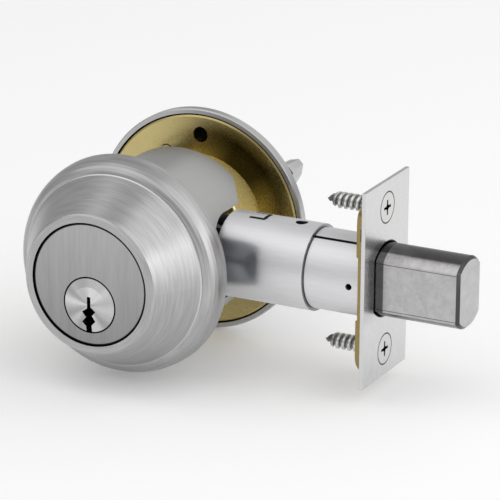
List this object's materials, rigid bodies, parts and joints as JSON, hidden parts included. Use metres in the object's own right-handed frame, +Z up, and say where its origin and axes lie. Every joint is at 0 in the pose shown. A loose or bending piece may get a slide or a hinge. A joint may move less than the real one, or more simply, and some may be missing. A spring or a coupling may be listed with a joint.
{
  "type": "single cylinder deadbolt",
  "caption": "Deadbolt door lock: tapered keyed cylinder outside, thumbturn and rose inside, and a sliding bolt with faceplate, drawn with the bolt thrown.",
  "frame": {"origin": "crossing of the cross bore's axis and the bolt's axis, at the middle of the door's thickness", "axes": "+X along the bolt towards the door's edge, -Y out of the keyed side, +Y out of the thumbturn side, +Z up"},
  "size_m": [0.1286, 0.0979, 0.0664],
  "materials": {
    "satin_trim": "satin chrome, turned grain",
    "satin_casting": "satin casting",
    "cylinder_face": "upright brushed",
    "plug_metal": "radially brushed",
    "satin_rose": "satin chrome, turned grain",
    "satin_plate": "light satin",
    "bright_tube": "bright zinc with lengthwise grain",
    "bolt_steel": "ground steel",
    "gold_zinc": "yellow passivated zinc plating",
    "zinc_steel": "zinc plated steel",
    "screw_steel": "zinc plated steel",
    "hardened_steel": "hardened steel",
    "spring_steel": "spring steel",
    "pin_brass": "turned brass",
    "white_nylon": "moulded nylon"
  },
  "bodies": {
    "lock": {"outer_trim": "satin_trim", "armor_ring": "hardened_steel", "cylinder_housing": "satin_casting", "key_cylinder": "cylinder_face", "cylinder_set_screw": "hardened_steel", "driver_pins": "pin_brass", "pin_springs": "spring_steel", "chamber_cover": "spring_steel", "drill_pins": "hardened_steel", "outer_frame_plate": "zinc_steel", "inner_frame_plate": "zinc_steel", "frame_rivets": "zinc_steel", "rear_sleeve": "bright_tube", "front_tube": "bright_tube", "backing_plate": "gold_zinc", "faceplate": "satin_plate", "wood_screws": "screw_steel", "mounting_plate": "gold_zinc", "machine_screws": "screw_steel", "rose": "satin_rose", "spindle_bushing": "white_nylon", "spindle_washer": "spring_steel"},
    "key_plug": {"plug": "plug_metal", "key_pins": "pin_brass", "plug_cap": "satin_casting"},
    "turn": {"thumbturn": "satin_rose", "thumbturn_spindle": "zinc_steel", "spindle_clip": "spring_steel", "tailpiece": "zinc_steel", "bolt_hub": "zinc_steel", "drive_pin": "hardened_steel"},
    "sliding_bolt": {"bolt": "bolt_steel", "bolt_tail": "zinc_steel", "tail_pin": "hardened_steel"},
    "roller": {"bolt_roller": "hardened_steel"}
  },
  "joints": [
    {"name": "thumbturn_turn", "type": "hinge", "parent": "lock", "child": "turn", "pos_m": [0, 0, -0.006], "axis": [0, 1, 0], "range_deg": [-90, 0]},
    {"name": "bolt_slide", "type": "slide", "parent": "lock", "child": "sliding_bolt", "axis": [1, 0, 0], "range_m": [-0.0254, 0]},
    {"name": "plug_turn", "type": "hinge", "parent": "lock", "child": "key_plug", "pos_m": [0, -0.03, -0.006], "axis": [0, 1, 0], "range_deg": [-110, 110]},
    {"name": "roller_spin", "type": "hinge", "parent": "sliding_bolt", "child": "roller", "pos_m": [0.078, 0, 0], "axis": [1, 0, 0], "continuous": true}
  ],
  "couplings": [
    {"joint": "thumbturn_turn", "follows": "bolt_slide", "rad_per_m": 61.842}
  ]
}
